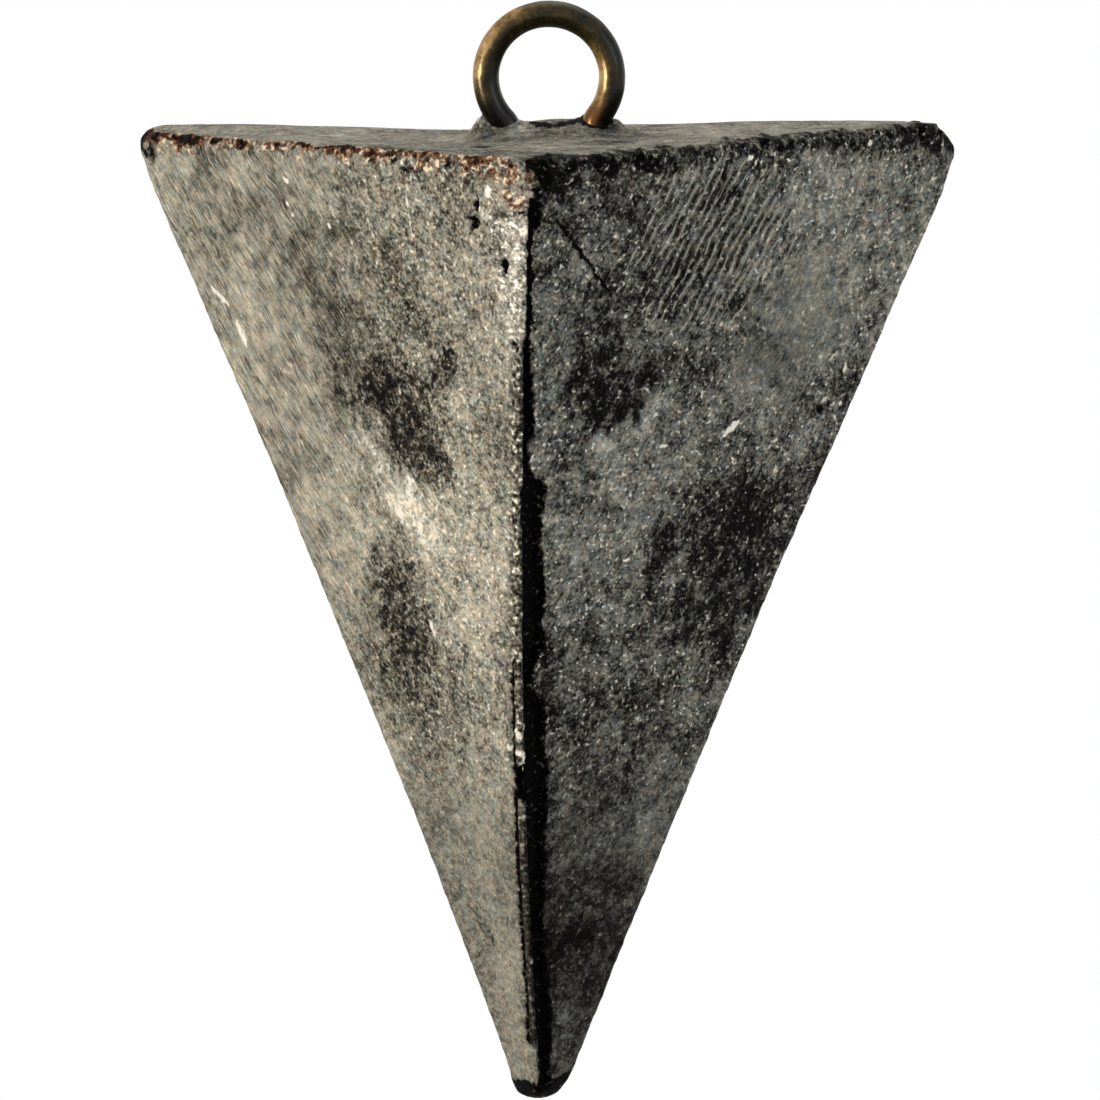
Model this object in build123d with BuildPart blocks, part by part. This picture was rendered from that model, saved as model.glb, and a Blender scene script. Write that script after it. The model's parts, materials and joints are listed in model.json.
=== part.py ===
from build123d import *
import os
from math import atan, cos, radians, sin, sqrt

# Pyramid fishing sinker: a three-sided cast lead body, point down, with a bent brass wire eye
# cast into its top. Millimetres, +Z up. The origin is the centre of the eye's loop, where the
# line pulls. The loop lies in the XZ plane, and the body's seam edge faces -Y.

# Cast body
top_side = 49.5  # side of the triangular top, measured to its sharp corners
tip_side = 3.9  # side of the blunt tip, measured the same way
body_height = 53.0  # top face down to the tip
long_edge_radius = 1.0  # rounding of the three long edges
top_edge_radius = 0.9  # rounding round the top face
tip_edge_radius = 0.8  # rounding round the tip

# Wire eye
wire_diameter = 1.5
loop_inner_diameter = 5.5
loop_height = 3.4  # centre of the loop above the top face
loop_wrap = 25.0  # degrees that the loop goes on below its own centre, on each side
neck_bend_radius = 1.5  # bend from the loop into a leg, at the wire's axis
leg_depth = 15.0  # top face down to the axis of the feet
heel_bend_radius = 2.2  # bend from a leg into its foot, at the wire's axis
foot_length = 3.3  # straight end of a foot, past its bend
wire_end_chamfer = 0.2

# Mound of lead that rose round the legs as the pour set
mound_height = 0.9
mound_margin = 0.75  # lead outside the wire, at the foot of the mound
mound_slope = 35.0  # degrees that its side leans in from upright
mound_edge_radius = 0.2

# Fin of lead that ran into the joint of the mould, down the front edge
seam_thickness = 0.5
seam_drop = 0.25  # crest of the fin below the line where the two faces would meet
seam_root = 1.6  # how far the fin reaches in from that line
seam_tip_gap = 1.6  # tip up to where the fin ends
seam_run_out = 2.5  # length over which the fin's lower end fades away

# Flat at the top of the front edge, where the corner of the pour was knocked back
facet_depth = 2.5  # measured in from the sharp corner, at the top face
facet_length = 10.5  # top face down to where the flat runs out into the fin

# Places worked out from the sizes above
top_z = -loop_height
tip_z = top_z - body_height
foot_z = top_z - leg_depth
wire_radius = wire_diameter / 2
loop_radius = loop_inner_diameter / 2 + wire_radius
wrap = radians(loop_wrap)
leg_x = loop_radius * cos(wrap) - neck_bend_radius * (1 - cos(wrap))
neck_z = -(loop_radius + neck_bend_radius) * sin(wrap)
foot_end_x = leg_x + heel_bend_radius + foot_length
back_turn = 90  # degrees about Z from +X to the way that the back side faces
top_inradius = top_side / (2 * sqrt(3))
tip_inradius = tip_side / (2 * sqrt(3))
side_lean = atan((top_inradius - tip_inradius) / body_height)

# Front edge as a line in the YZ plane, with its directions along and out of the body
corner_reach = top_side / sqrt(3)
tip_reach = tip_side / sqrt(3)
blank_radius = 2 * corner_reach  # wide enough for all three corners
edge_top = Vector(-corner_reach, top_z)
edge_tip = Vector(-tip_reach, tip_z)
down_edge = (edge_tip - edge_top).normalized()
out_of_edge = Vector(down_edge.Y, -down_edge.X)


# Brass wire eye: one length of wire, foot to foot, with the loop between two legs
with BuildPart() as wire_eye:
    with BuildLine(Plane.XZ) as wire_axis:
        right_foot = Line((foot_end_x, foot_z), (leg_x + heel_bend_radius, foot_z))
        right_heel = JernArc(right_foot @ 1, right_foot % 1, heel_bend_radius, -90)
        right_leg = Line(right_heel @ 1, (leg_x, neck_z))
        right_neck = JernArc(right_leg @ 1, right_leg % 1, neck_bend_radius, -loop_wrap)
        loop = JernArc(right_neck @ 1, right_neck % 1, loop_radius, 180 + 2 * loop_wrap)
        left_neck = JernArc(loop @ 1, loop % 1, neck_bend_radius, -loop_wrap)
        left_leg = Line(left_neck @ 1, (-leg_x, foot_z + heel_bend_radius))
        left_heel = JernArc(left_leg @ 1, left_leg % 1, heel_bend_radius, -90)
        left_foot = Line(left_heel @ 1, (-foot_end_x, foot_z))
    with BuildSketch(Plane(origin=right_foot @ 0, z_dir=right_foot % 0)):
        Circle(wire_radius)
    sweep(path=wire_axis.line)
    cut_ends = wire_eye.edges().group_by(Axis.X)[0] + wire_eye.edges().group_by(Axis.X)[-1]
    chamfer(cut_ends, wire_end_chamfer)
wire_eye.part.label = "wire_eye"


# Cast lead body, poured round the eye
with BuildPart() as cast_body:
    # Pyramid, cut from a round blank by its three leaning sides, with one edge to the front
    with BuildSketch(Plane.XY.offset(tip_z)):
        Circle(blank_radius)
    extrude(amount=body_height)
    for side_turn in (back_turn, back_turn + 120, back_turn + 240):
        facing = Vector(1, 0, 0).rotate(Axis.Z, side_turn)
        side_middle = facing * top_inradius + Vector(0, 0, top_z)
        side_normal = facing * cos(side_lean) - Vector(0, 0, sin(side_lean))
        split(bisect_by=Plane(origin=side_middle, z_dir=side_normal), keep=Keep.BOTTOM)
    fillet(cast_body.edges().group_by(Axis.Z)[1], long_edge_radius)
    fillet(cast_body.edges().group_by(Axis.Z)[-1], top_edge_radius)
    fillet(cast_body.edges().group_by(Axis.Z)[0], tip_edge_radius)

    # Seam fin down the front edge
    fin_end = edge_tip - down_edge * seam_tip_gap
    with BuildSketch(Plane.YZ):
        with BuildLine():
            Polyline(
                edge_top - out_of_edge * seam_root,
                edge_top - out_of_edge * seam_drop,
                fin_end - down_edge * seam_run_out - out_of_edge * seam_drop,
                fin_end - out_of_edge * seam_root,
                close=True,
            )
        make_face()
    extrude(amount=seam_thickness / 2, both=True)

    # Flat at the top of the front edge
    flat_top = Vector(0, -corner_reach + facet_depth, top_z)
    flat_end = edge_top + down_edge * facet_length - out_of_edge * seam_drop
    flat_rise = flat_top - Vector(0, flat_end.X, flat_end.Y)
    flat_normal = Vector(0, -flat_rise.Z, flat_rise.Y)
    split(bisect_by=Plane(origin=flat_top, z_dir=flat_normal), keep=Keep.BOTTOM)

    # Mound round the legs
    with BuildSketch(Plane.XY.offset(top_z)):
        SlotCenterToCenter(2 * leg_x, wire_diameter + 2 * mound_margin)
    extrude(amount=mound_height, taper=mound_slope)
    fillet(cast_body.edges().group_by(Axis.Z)[-1], mound_edge_radius)

    # Bed that the wire fills, with no gap
    add(wire_eye.part, mode=Mode.SUBTRACT)
cast_body.part.label = "cast_body"


os.makedirs("parts", exist_ok=True)
export_step(cast_body.part, "parts/cast_body.step")
export_step(wire_eye.part, "parts/wire_eye.step")
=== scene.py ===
import json
from math import atan, cos, pi, radians, sin, sqrt, tan

import bmesh
import bpy
from mathutils import Matrix, Vector, noise

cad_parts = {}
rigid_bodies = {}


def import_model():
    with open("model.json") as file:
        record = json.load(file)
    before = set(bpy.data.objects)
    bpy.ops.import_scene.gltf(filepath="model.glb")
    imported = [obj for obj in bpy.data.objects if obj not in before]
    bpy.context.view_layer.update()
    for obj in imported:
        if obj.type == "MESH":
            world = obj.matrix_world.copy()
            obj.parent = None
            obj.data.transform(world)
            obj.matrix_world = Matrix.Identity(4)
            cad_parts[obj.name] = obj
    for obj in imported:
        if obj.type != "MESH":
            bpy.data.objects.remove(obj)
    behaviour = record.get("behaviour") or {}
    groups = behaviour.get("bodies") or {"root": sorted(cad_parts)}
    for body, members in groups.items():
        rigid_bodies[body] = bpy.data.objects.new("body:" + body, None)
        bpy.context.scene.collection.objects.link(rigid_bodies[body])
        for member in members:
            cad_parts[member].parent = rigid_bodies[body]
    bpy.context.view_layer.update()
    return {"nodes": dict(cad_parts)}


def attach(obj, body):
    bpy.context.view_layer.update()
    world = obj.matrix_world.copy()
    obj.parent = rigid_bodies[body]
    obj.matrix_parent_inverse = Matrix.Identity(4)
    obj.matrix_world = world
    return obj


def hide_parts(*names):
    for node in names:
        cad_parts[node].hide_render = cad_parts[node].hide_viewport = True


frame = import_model()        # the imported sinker: cast_body and wire_eye on one body, root
mm = 0.001
noise.seed_set(8)        # without a fixed seed noise_vector differs from run to run
print("frame loaded:", ", ".join(sorted(frame["nodes"])))


# small tools for numbers

def smoothStep(low, high, value):
    t = min(1.0, max(0.0, (value - low) / (high - low)))
    return t * t * (3 - 2 * t)


def between(nodes, x):
    # value at x along a line through the nodes, rounded at each of them
    for (x0, v0), (x1, v1) in zip(nodes, nodes[1:]):
        if x < x1:
            return v0 + (v1 - v0) * smoothStep(x0, x1, x)
    return nodes[-1][1]


def wander(place, size, seed=0.0):
    # smooth noise from -1 to 1, its bumps about size mm across
    return noise.noise(place / size + Vector((seed, -seed, 2 * seed)))


def shaken(place, size, amount, seed=0.0):
    # the same place moved by noise, so that what is drawn there gets a ragged outline
    return place + amount * noise.noise_vector(place / size + Vector((seed, 2 * seed, -seed)))


# small tools for modelling

def startPiece():
    if bpy.context.object and bpy.context.object.mode != "OBJECT":
        bpy.ops.object.mode_set(mode="OBJECT")
    bpy.ops.object.select_all(action="DESELECT")


def pick(piece, kind, rule):
    # selects the vertices, edges or faces of a piece in edit mode that the rule says yes to
    bpy.ops.mesh.select_mode(type={"verts": "VERT", "edges": "EDGE", "faces": "FACE"}[kind])
    bpy.ops.mesh.select_all(action="DESELECT")
    shape = bmesh.from_edit_mesh(piece.data)
    for element in getattr(shape, kind):
        if rule(element):
            element.select_set(True)
    shape.select_flush_mode()
    bmesh.update_edit_mesh(piece.data)


def middle(element):
    return sum((v.co for v in element.verts), Vector()) / len(element.verts) / mm


# Cast lead body

leadBody = {                    # mm
    "topSide": 49.7,            # side of the triangular top, to its sharp corners
    "tipSide": 3.9,
    "topZ": -3.15,
    "tipZ": -56.7,
    "rearEdgeRadius": 1.0,
    "frontEdgeRadius": 0.45,
    "topEdgeRadius": 0.7,
    "tipEdgeRadius": 0.6,
    # worn rear corners: reach from the axis, reach at the top, how far down the one runs into the other,
    # and rounds of smoothing
    "leftCorner": (26.45, 26.15, 0.8, 7),
    "rightCorner": (26.55, 24.5, 1.1, 10),
    "wornReach": 4.6,           # how far the smoothing of a rear corner reaches
    "wornTip": (1.8, 4),        # reach and rounds of smoothing at the tip,
    "moundFoot": (8.0, 8),      # where the mound runs out into the top,
    "softEdge": (1.6, 3),       # and along the front edge
    # flat at the top of the front edge: how far it reaches left and right at the top
    "flatLeft": 2.4,
    "flatRight": 0.8,
    "flatLength": 10.2,         # how far down it runs out
    "flatDrop": 0.25,
    "flatLineZ": -6.15,         # dark line across it
    "voxel": 0.4,
    "finestFace": 0.02,         # mm2, faces below this aren't cut again for the marks
    "roundSteps": 6,
}

topZ = leadBody["topZ"]
tipZ = leadBody["tipZ"]
height = topZ - tipZ
cornerReach = leadBody["topSide"] / sqrt(3)
tipReach = leadBody["tipSide"] / sqrt(3)
topInradius = cornerReach / 2
sideLean = atan((cornerReach - tipReach) / 2 / height)

sides = {}
for sideName, sideTurn in (("back", 90), ("left", 210), ("right", 330)):
    facing = Vector((cos(radians(sideTurn)), sin(radians(sideTurn)), 0))
    sides[sideName] = (facing * cos(sideLean) - Vector((0, 0, sin(sideLean))),
                       facing * topInradius + Vector((0, 0, topZ)))
edgeSlope = tan(radians(60))    # of the front faces, seen from above
flatPoint = Vector((leadBody["flatRight"], -cornerReach + edgeSlope * leadBody["flatRight"], topZ))
flatLeft = Vector((-leadBody["flatLeft"], -cornerReach + edgeSlope * leadBody["flatLeft"], topZ))
flatShare = leadBody["flatLength"] / height
flatEnd = Vector((0, -cornerReach + (cornerReach - tipReach) * flatShare + leadBody["flatDrop"],
                  topZ - leadBody["flatLength"]))
flatNormal = (flatLeft - flatPoint).cross(flatEnd - flatPoint).normalized()
rearCorners = {"left": Vector((-cos(radians(30)), 0.5, 0)), "right": Vector((cos(radians(30)), 0.5, 0))}


def depthUnder(place, side):
    # how far a place lies outside a side of the sharp pyramid, so below 0 inside
    normal, point = sides[side]
    return normal.dot(place - point)


def downShare(z):
    # 0 at the top, 1 at the tip
    return min(1.0, max(0.0, (topZ - z) / height))


def cutAway(at, normal):
    # everything on the far side of a plane goes, and the cut is filled
    bpy.ops.mesh.select_all(action="SELECT")
    bpy.ops.mesh.bisect(plane_co=at * mm, plane_no=normal.normalized(), use_fill=True, clear_outer=True)


def blockOut():
    startPiece()
    bpy.ops.mesh.primitive_cone_add(
        vertices=3, radius1=tipReach * mm, radius2=cornerReach * mm, depth=height * mm,
        location=(0, 0, (topZ + tipZ) / 2 * mm), rotation=(0, 0, pi))
    body = bpy.context.object
    body.name = "castLead"
    bpy.ops.object.transform_apply(location=True, rotation=True, scale=True)
    bpy.ops.object.mode_set(mode="EDIT")
    halfDihedral = 0.5 * (pi - sides["left"][0].angle(sides["right"][0]))
    steps = leadBody["roundSteps"]
    for front, radius in ((True, leadBody["frontEdgeRadius"]), (False, leadBody["rearEdgeRadius"])):
        pick(body, "edges", lambda e: abs(e.verts[0].co.z - e.verts[1].co.z) > height / 2 * mm
             and (middle(e).y < -topInradius / 2) == front and e.calc_face_angle() > 1)
        bpy.ops.mesh.bevel(offset=radius / tan(halfDihedral) * mm, segments=steps, affect="EDGES")
    for level, radius in ((topZ, leadBody["topEdgeRadius"]), (tipZ, leadBody["tipEdgeRadius"])):
        pick(body, "edges", lambda e: all(abs(v.co.z / mm - level) < 0.01 for v in e.verts))
        bpy.ops.mesh.bevel(offset=radius * mm, segments=steps, affect="EDGES")
    # flat at the top of the front edge, turned a little to the left
    cutAway(flatPoint, flatNormal)
    # worn rear corners
    for side, towards in rearCorners.items():
        reach, topReach, drop = leadBody[side + "Corner"][:3]
        cutAway(towards * reach, towards)
        slant = towards * drop + Vector((0, 0, reach - topReach))
        cutAway(towards * topReach + Vector((0, 0, topZ)), slant)
    bpy.ops.object.mode_set(mode="OBJECT")
    return body


mound = {                       # mm, lead that rose round the wire: x, y, reach along x, along y, height
    "skirt": (0.3, -0.5, 5.6, 3.4, 0.32),
    "between": (0.5, 0.1, 3.7, 1.8, 0.98),
    "leftInner": (-1.75, 0.1, 0.9, 1.0, 1.35),
    "rightInner": (2.75, 0.6, 0.9, 0.7, 1.4),
    "left": (-3.05, 0.35, 0.8, 0.9, 1.6),
    "leftFoot": (-3.6, 0.3, 1.0, 0.9, 0.7),
    "rightFoot": (4.1, 0.4, 1.0, 0.9, 0.6),
    "right": (3.65, 0.55, 0.95, 0.8, 1.15),
}


def addMound(body):
    lumps = []
    for x, y, reachX, reachY, high in mound.values():
        startPiece()
        bpy.ops.mesh.primitive_uv_sphere_add(
            segments=32, ring_count=16, radius=mm,
            location=(x * mm, y * mm, topZ * mm), scale=(reachX, reachY, high))
        lumps.append(bpy.context.object)
    startPiece()
    for piece in lumps + [body]:
        piece.select_set(True)
    bpy.context.view_layer.objects.active = body
    bpy.ops.object.join()
    bpy.ops.object.transform_apply(location=True, rotation=True, scale=True)


topMarks = {                    # mm, x and y on the top
    "rightLeg": (2.95, 0.0),    # where the right leg of the eye goes into the lead, the middle of the painted shadow ring round it
    "dash": (-2.8, -13.0),
    "darkPatch": (4.0, -8.0),
    "creviceX": 0.7,            # in front of the mound, the middle of the painted shadow in its crevice
}

seam = {                        # mm, across the front edge, seen from the front, with the edge at 0
    "crestLeft": -0.45,
    "crestRight": 0.08,
    "crestRise": 0.26,
    "crackAt": -0.53,
    "crackWidth": 0.07,
    "crackDepth": 0.2,
    "grooveTop": 0.42,          # right side of the black groove beside the flat,
    "grooveNarrow": 0.52,       # under the flat
    "grooveWide": 1.08,         # and below the step
    "stepZ": -20.6,
    "gapZ": -37.7,              # where a piece of the crest is missing
    "pinchZ": -31.7,            # where the right bank bulges into the groove
    "pinch": 0.6,
    "grooveDepth": 0.45,
    "startZ": -5.3,
    "crestZ": -13.0,            # where the flat runs out into the crest
    "crestEndZ": -53.3,         # the crest and its crack stop short of the tip,
    "endZ": -55.6,              # and the groove runs on to it
    "wobble": 0.10,
}

# mm that the top stands above its plane at places along x: the pour sank as it set
topRise = {
    "back": ((-21.0, 0.05), (-6.0, -0.45), (2.5, 0.02), (13.0, 0.12), (21.0, 0.14)),
    "front": ((-21.0, -0.36), (-3.5, 0.05), (5.0, 0.04), (21.0, 0.18)),
}

bows = {                        # mm that the long edges bend sideways at mid height
    "left": 0.74,
    "right": -0.32,
    "front": -0.64,
    "rightAll": -0.2,           # and the right edge all along
    "tip": -0.22,               # the very tip leans left
}

crust = {                       # mm, crumbled skin along the top front edges
    "left": {"drop": 1.15, "inset": 0.5, "rough": 0.16, "fine": 0.09},
    "right": {"drop": 1.35, "inset": 1.1, "rough": 0.3, "fine": 0.16},
}

# soft light and dark areas of the front faces, seen from the front:
# x, z, half width, half height (mm), lean (degrees), strength, below 0 for dark
shades = {
    "left": (
        (-9.0, -12.3, 3.4, 4.6, 25, -0.10),
        (-3.8, -25.0, 2.6, 4.8, 15, 0.13),
        (-11.2, -23.4, 2.6, 4.0, 25, 0.06),
        (-7.85, -22.0, 0.8, 3.7, 40, 0.2),     # pale band between the dark patches, lighter as painted sheen
        (-6.1, -34.1, 3.4, 3.0, 20, -0.07),
        (-2.6, -47.5, 3.0, 8.0, 20, -0.05),
    ),
    "right": (
        (3.4, -8.5, 3.2, 3.8, -20, -0.09),
        (18.0, -9.8, 5.4, 5.4, -30, 0.16),
        (13.2, -18.2, 3.0, 3.0, -25, 0.07),
        (4.6, -21.4, 2.4, 3.6, -25, 0.13),
        (5.1, -18.4, 0.6, 1.9, -48, 0.32),     # pale streak under the black patch
        (3.9, -36.6, 3.6, 5.0, -20, -0.10),
        (10.8, -26.2, 3.2, 5.2, -25, -0.2),
        (2.4, -48.5, 2.6, 5.4, -20, -0.29),
        (1.5, -51.8, 0.6, 1.0, -15, 0.08),
    ),
}

# painted sheen with rubbed spots along the pale band: x, z, half width, half height (mm), lean (degrees)
paleBand = (-7.8, -21.9, 0.85, 3.8, 40)

# chatter ridges on the right face, with painted highlights and painted valley shade
ridgePatch = (9.8, -8.6, 3.4, 3.8, -30)

# smoother metal near the right edge
smoothPatch = (14.2, -13.8, 2.4, 4.4, -25)

# dark patches, broken up into grains, given as the light and dark areas are
stains = {
    "left": (
        (-6.6, -17.9, 2.0, 3.0, 25, 0.55),      # beside the seam
        (-5.8, -19.8, 1.2, 1.6, 25, 0.25),
        (-4.65, -15.1, 0.8, 1.2, 10, 0.55),
        (-9.6, -16.6, 1.6, 1.6, 30, 0.32),
        (-8.1, -28.9, 1.5, 2.8, 22, 0.52),      # below it
        (-7.9, -32.0, 2.2, 2.4, 20, 0.38),
        (-3.3, -47.4, 0.5, 1.3, 28, 0.35),
        (-5.2, -24.2, 3.2, 3.6, 30, 0.22),      # pits round the pale band
        (-10.6, -8.6, 4.2, 3.6, 30, 0.08),
    ),
    "right": (
        (3.5, -15.4, 1.0, 1.3, -20, 0.85),      # black patch
        (5.5, -16.7, 0.9, 1.5, -20, 0.9),
        (4.4, -18.0, 1.2, 0.8, -45, 0.75),
        (3.9, -13.4, 0.9, 1.4, -15, 0.6),
        (9.7, -24.4, 2.0, 2.8, -25, 0.4),       # towards the right edge
        (6.7, -25.3, 0.7, 1.4, -15, 0.5),
        (10.1, -30.1, 2.2, 3.0, -25, 0.38),
        (12.4, -25.4, 1.4, 3.0, -25, 0.28),
        (2.7, -47.5, 1.7, 1.0, -30, 0.45),
    ),
}

# knocks that show bare metal, painted near-white as glints: x, z, half length, half width (mm), lean from
# upright (degrees)
gleams = (
    (-18.7, -12.6, 0.90, 0.15, 47),
    (-17.4, -14.6, 0.90, 0.16, 20),
    (-13.9, -5.35, 0.30, 0.13, 35),
    (-13.85, -6.8, 0.20, 0.09, 20),
    (-13.6, -7.4, 0.17, 0.09, 10),
    (-11.35, -7.8, 0.20, 0.10, 5),
    (-8.8, -7.8, 1.00, 0.05, 20),
    (-6.6, -6.6, 1.30, 0.04, 7),
    (-5.8, -29.9, 0.46, 0.14, 20),
    (-2.0, -5.0, 0.36, 0.17, 5),
    (-2.35, -6.15, 0.26, 0.14, 0),
    (-0.24, -35.95, 0.22, 0.16, 30),    # splash on the seam
    (0.10, -36.15, 0.26, 0.20, -20),
    (0.30, -36.4, 0.17, 0.12, -50),
    (0.02, -36.6, 0.30, 0.19, 10),
    (-0.08, -37.05, 0.24, 0.12, 0),
    (0.17, -34.6, 0.22, 0.17, -70),
    (-0.19, -34.95, 0.26, 0.17, 20),
    (1.42, -35.05, 0.11, 0.10, 0),
    (-0.78, -35.75, 0.25, 0.14, 15),
    (0.05, -48.25, 0.22, 0.14, 10),
    (10.7, -19.1, 0.80, 0.19, -50),
    (7.05, -19.6, 0.28, 0.10, -88),
    (13.2, -20.2, 0.20, 0.09, -40),
    (5.2, -25.8, 0.15, 0.11, -85),
    (11.5, -4.10, 0.17, 0.10, -40),
    (11.8, -4.32, 0.12, 0.08, 10),
    (13.3, -4.20, 0.15, 0.08, -70),
    (13.65, -4.38, 0.10, 0.07, 0),
    (6.4, -4.5, 0.16, 0.13, 0),
    (3.65, -8.3, 0.13, 0.11, 0),
    (17.1, -16.6, 0.42, 0.09, -8),
    (16.0, -18.3, 0.23, 0.13, -60),
    (16.9, -18.6, 0.16, 0.11, 0),
)

# small deep pits on the front: x, z, half width, half height, depth (mm)
pits = (
    (-2.75, -5.85, 0.23, 0.40, 0.5),
    (-2.85, -6.75, 0.38, 0.34, 0.5),
    (-1.1, -9.0, 0.24, 0.48, 0.45),
    (15.8, -18.8, 0.22, 0.24, 0.3),
)

# dark scratch on the right face, from one end to the other: x, z (mm)
scratch = {"from": (1.7, -6.5), "to": (4.25, -10.5), "halfWidth": 0.2, "depth": 0.1}


def alongLine(place, x, z, halfLength, lean):
    # place across and along a short line on the front, 1 at its ends
    turn = radians(lean)
    along = (place.x - x) * sin(turn) - (place.z - z) * cos(turn)
    across = (place.x - x) * cos(turn) + (place.z - z) * sin(turn)
    return abs(across), abs(along) / halfLength


def fromScratch(place):
    # distance from the scratch, and how far along it, 0 to 1
    (x0, z0), (x1, z1) = scratch["from"], scratch["to"]
    run = Vector((x1 - x0, z1 - z0))
    here = Vector((place.x - x0, place.z - z0))
    share = min(1.0, max(0.0, here.dot(run) / run.length_squared))
    return (here - share * run).length, share


def inOval(place, x, z, halfWide, halfHigh, lean):
    # below 1 inside a leaning oval on the front
    c = cos(radians(lean))
    s = sin(radians(lean))
    a = ((place.x - x) * c + (place.z - z) * s) / halfWide
    b = ((place.z - z) * c - (place.x - x) * s) / halfHigh
    return a * a + b * b


def nearFrontEdge(place):
    return place.y < -tipReach * 0.3 - (place.z - tipZ) * 0.2


def remeshBody(body):
    startPiece()
    body.select_set(True)
    bpy.context.view_layer.objects.active = body
    remesh = body.modifiers.new("remesh", "REMESH")
    remesh.mode = "VOXEL"
    remesh.voxel_size = leadBody["voxel"] * mm
    bpy.ops.object.modifier_apply(modifier=remesh.name)
    bpy.ops.object.mode_set(mode="EDIT")

    def smoothWhere(rule, rounds):
        pick(body, "verts", rule)
        bpy.ops.mesh.vertices_smooth(factor=0.5, repeat=rounds)

    smoothWhere(lambda v: True, 2)
    # the foot of the mound runs out into the top, and the front edge is soft
    reach, rounds = leadBody["moundFoot"]
    smoothWhere(lambda v: (v.co / mm).xy.length < reach and -0.6 < v.co.z / mm - topZ < 0.6, rounds)
    reach, rounds = leadBody["softEdge"]
    smoothWhere(lambda v: abs(v.co.x / mm) < reach and nearFrontEdge(v.co / mm), rounds)
    # the rear corners and the tip wore round
    worn = []
    for side, towards in rearCorners.items():
        corner = towards * cornerReach + Vector((0, 0, topZ))
        worn.append((corner, leadBody["wornReach"], leadBody[side + "Corner"][3]))
    worn.append((Vector((0, 0, tipZ)), *leadBody["wornTip"]))
    for middleOfWear, reach, rounds in worn:
        smoothWhere(lambda v: (v.co / mm - middleOfWear).length < reach, rounds)

    # finer faces where the small shapes are
    def seamFaces(f, left, right):
        at = middle(f)
        return left < at.x < right and nearFrontEdge(at)

    def topEdgeFaces(f):
        at = middle(f)
        closest = max(depthUnder(at, "left"), depthUnder(at, "right"))
        return at.y < 11 and at.z > topZ - 1.6 and closest > -1.0

    def moundFaces(f):
        at = middle(f)
        return at.z > topZ - 0.3 and abs(at.y) < 2.4 and abs(at.x) < 5.2

    def markFaces(f):
        at = middle(f)
        if at.y > 9 or f.normal.y > -0.2 or f.calc_area() < leadBody["finestFace"] * mm * mm:
            return False
        if fromScratch(at)[0] < 0.4:
            return True
        for x, z, long, wide, lean in gleams:
            across, share = alongLine(at, x, z, long, lean)
            if across < wide + 0.25 and share < 1 + 0.25 / long:
                return True
        return False

    for rule in (lambda f: seamFaces(f, -0.85, 1.5), lambda f: seamFaces(f, -0.7, 1.35),
                 topEdgeFaces, moundFaces, markFaces, markFaces):
        pick(body, "faces", rule)
        bpy.ops.mesh.subdivide(number_cuts=1)
    bpy.ops.object.mode_set(mode="OBJECT")
    print("lead body:", len(body.data.vertices), "vertices")


# sculpting: each vertex is a spot that the steps below move and paint

paintNames = ("tone", "stain", "sootAndShade", "rust", "burnishAndSheen", "crest", "gleam", "ridge", "coarse", "mottled",
              "streaky", "rightSide", "topSide")


class Spot:
    def __init__(self, vertex):
        self.at = vertex.co / mm
        self.normal = vertex.normal.copy()
        self.move = Vector()
        self.paint = dict.fromkeys(paintNames, 0.0)
        self.down = downShare(self.at.z)
        self.left = depthUnder(self.at, "left")
        self.right = depthUnder(self.at, "right")
        self.back = depthUnder(self.at, "back")
        self.isTop = smoothStep(0.6, 0.9, self.normal.z)
        self.isFront = smoothStep(0.0, 0.25, -self.normal.y) * (1 - self.isTop)
        self.side = "left" if self.left > self.right else "right"


def bendLongEdges(spot):
    bend = max(0.0, sin(pi * spot.down ** 1.25)) ** 0.8
    halfSide = 0.5 * (leadBody["topSide"] + (leadBody["tipSide"] - leadBody["topSide"]) * spot.down)
    reachHere = cornerReach + (tipReach - cornerReach) * spot.down
    sideways = max(-1.0, min(1.0, spot.at.x / halfSide))
    forward = smoothStep(-0.1, 1.0, -spot.at.y / reachHere)
    if sideways < 0:
        rear = bend * bows["left"] * -sideways
    else:
        rear = (bend * bows["right"] + bows["rightAll"]) * sideways
    spot.move.x += rear * (1 - forward) + bend * bows["front"] * forward
    spot.move.x += bows["tip"] * smoothStep(tipZ + 1.8, tipZ, spot.at.z)


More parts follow.
